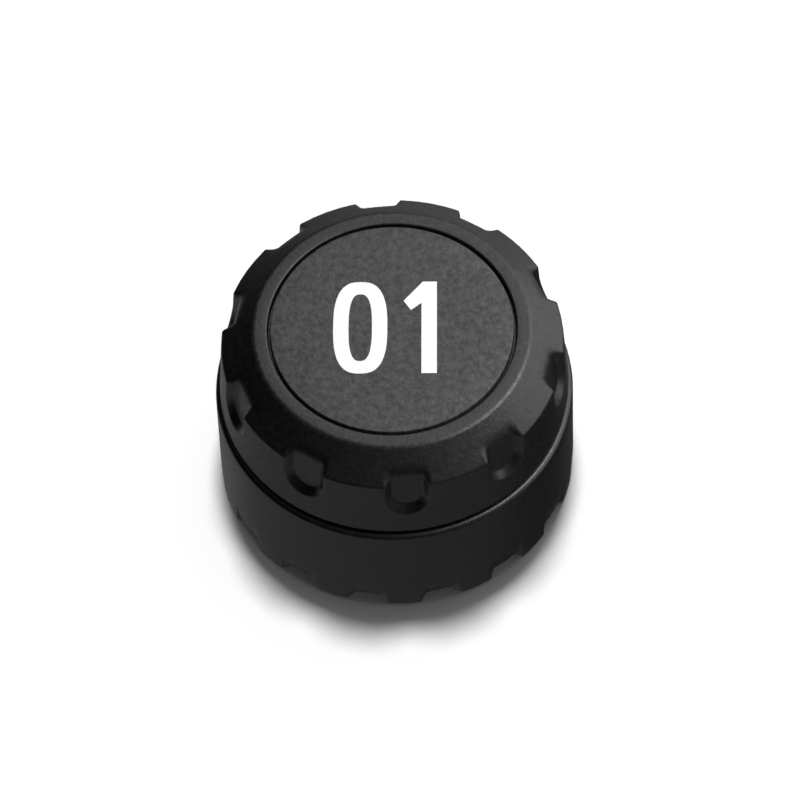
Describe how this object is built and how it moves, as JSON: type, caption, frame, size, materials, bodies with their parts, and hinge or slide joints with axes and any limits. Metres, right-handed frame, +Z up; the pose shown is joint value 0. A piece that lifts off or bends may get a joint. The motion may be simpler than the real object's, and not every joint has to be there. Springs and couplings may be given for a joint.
{
  "type": "tire pressure sensor",
  "caption": "Round black screw-on tire pressure sensor: cone-shouldered cap with wrench pockets and an inset disc, notched base, and a threaded brass valve socket underneath.",
  "frame": {"origin": "middle of the underside, on the axis that the cap turns about", "axes": "+Z up along the cap's axis, away from the tyre valve; -Y is the front in the picture; +X is to its right"},
  "size_m": [0.025, 0.025, 0.0162],
  "materials": {
    "cap_black": "satin moulded black plastic with a fine grain",
    "disc_black": "matte black plastic with a fine grain",
    "base_black": "satin moulded black plastic",
    "brass": "turned",
    "black_rubber": "moulded",
    "red_silicone": "moulded silicone",
    "steel": "plain",
    "nickel": "nickel plated spring strip",
    "copper": "bare copper wire",
    "board_green": "glass-fibre board with green solder mask",
    "chip_black": "moulded package",
    "chip_ceramic": "chip component with plated ends",
    "nylon": "natural nylon",
    "cell_ring": "polypropylene",
    "foam": "closed-cell foam"
  },
  "bodies": {
    "base": {"base_housing": "base_black", "valve_thread_insert": "brass", "valve_gasket": "black_rubber", "valve_depressor_pin": "steel", "port_seal": "red_silicone", "circuit_board": "board_green", "sensor_chip": "chip_black", "radio_crystal": "nickel", "storage_capacitor": "chip_ceramic", "tuning_capacitor_1": "chip_ceramic", "tuning_capacitor_2": "chip_ceramic", "matching_inductor": "chip_black", "bias_resistor": "chip_black", "antenna_loop": "copper", "negative_contact": "nickel", "positive_contact": "nickel", "battery_spacer": "nylon", "battery_can": "steel", "battery_seal": "cell_ring", "battery_negative_cup": "steel", "board_screw_1": "steel", "board_screw_2": "steel"},
    "seal": {"main_seal": "black_rubber"},
    "cap": {"top_cap": "cap_black", "label_disc": "disc_black", "battery_pad": "foam"}
  },
  "joints": [
    {"name": "cap_lift", "type": "slide", "parent": "base", "child": "seal", "axis": [0, 0, 1], "range_m": [0, 0.0027]},
    {"name": "cap_turn", "type": "hinge", "parent": "seal", "child": "cap", "pos_m": [0, 0, 0.0125], "axis": [0, 0, 1], "range_deg": [0, 810]}
  ],
  "couplings": [
    {"joint": "cap_lift", "follows": "cap_turn", "m_per_rad": 0.00019099}
  ]
}
